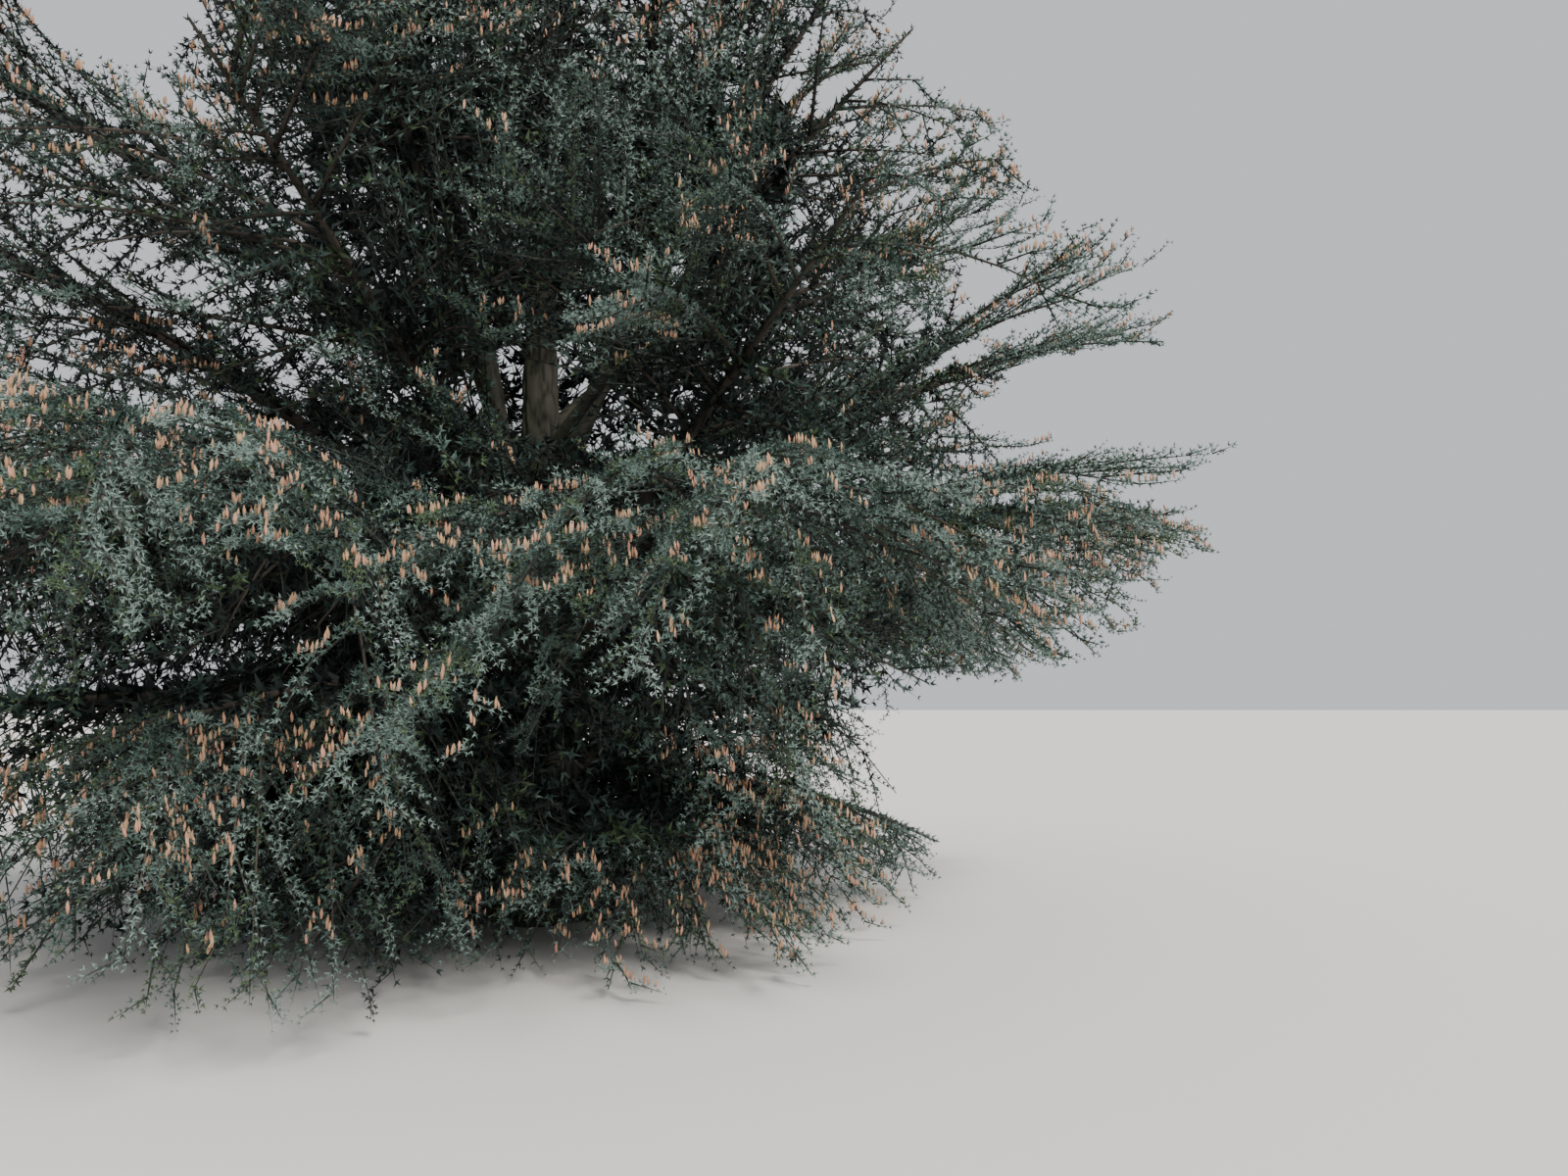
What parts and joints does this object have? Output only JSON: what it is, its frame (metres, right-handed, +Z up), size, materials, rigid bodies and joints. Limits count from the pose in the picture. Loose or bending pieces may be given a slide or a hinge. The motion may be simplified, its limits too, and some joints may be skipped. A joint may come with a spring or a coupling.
{
  "type": "atlas cedar tree",
  "caption": "Mature blue atlas cedar, rooted: a tapering trunk with side leaders, tiers of long boughs and drooping masses of needles, down to the ground.",
  "frame": {"origin": "centre of the flat cut under the trunk, at ground level", "axes": "+Z up the trunk; -Y towards the side the picture shows; +X to the right of that view"},
  "size_m": [10.1874, 10.2744, 10.6369],
  "materials": {
    "bark": "rough, fissured grey-brown bark with a green film of algae",
    "foliage": "waxy grey-blue-green needles on grey-brown twigs",
    "cones": "dry, papery tan pollen cones"
  },
  "bodies": {
    "root": {"trunk": "bark", "leader_left": "bark", "leader_right": "bark", "bough_low_1": "bark", "bough_low_2": "bark", "bough_low_3": "bark", "bough_low_4": "bark", "bough_low_5": "bark", "bough_low_6": "bark", "bough_low_7": "bark", "bough_middle_1": "bark", "bough_middle_2": "bark", "bough_middle_3": "bark", "bough_middle_4": "bark", "bough_middle_5": "bark", "bough_middle_6": "bark", "bough_upper_1": "bark", "bough_upper_2": "bark", "bough_upper_3": "bark", "bough_upper_4": "bark", "bough_upper_5": "bark", "foliage_skirt_1": "foliage", "foliage_skirt_2": "foliage", "foliage_skirt_3": "foliage", "foliage_skirt_4": "foliage", "foliage_skirt_5": "foliage", "foliage_skirt_6": "foliage", "foliage_drape_1": "foliage", "foliage_drape_2": "foliage", "foliage_drape_3": "foliage", "foliage_drape_4": "foliage", "foliage_drape_5": "foliage", "foliage_low_1": "foliage", "foliage_low_2": "foliage", "foliage_low_3": "foliage", "foliage_low_4": "foliage", "foliage_low_5": "foliage", "foliage_low_6": "foliage", "foliage_low_7": "foliage", "foliage_middle_1": "foliage", "foliage_middle_2": "foliage", "foliage_middle_3": "foliage", "foliage_middle_4": "foliage", "foliage_middle_5": "foliage", "foliage_middle_6": "foliage", "foliage_upper_1": "foliage", "foliage_upper_2": "foliage", "foliage_upper_3": "foliage", "foliage_upper_4": "foliage", "foliage_upper_5": "foliage", "foliage_crown_1": "foliage", "foliage_crown_2": "foliage", "foliage_crown_3": "foliage", "foliage_crown_4": "foliage", "foliage_crown_5": "foliage", "foliage_crown_6": "foliage", "foliage_crown_7": "foliage", "foliage_top_of_trunk": "foliage", "foliage_top_of_leader_left": "foliage", "foliage_top_of_leader_right": "foliage"}
  },
  "joints": []
}
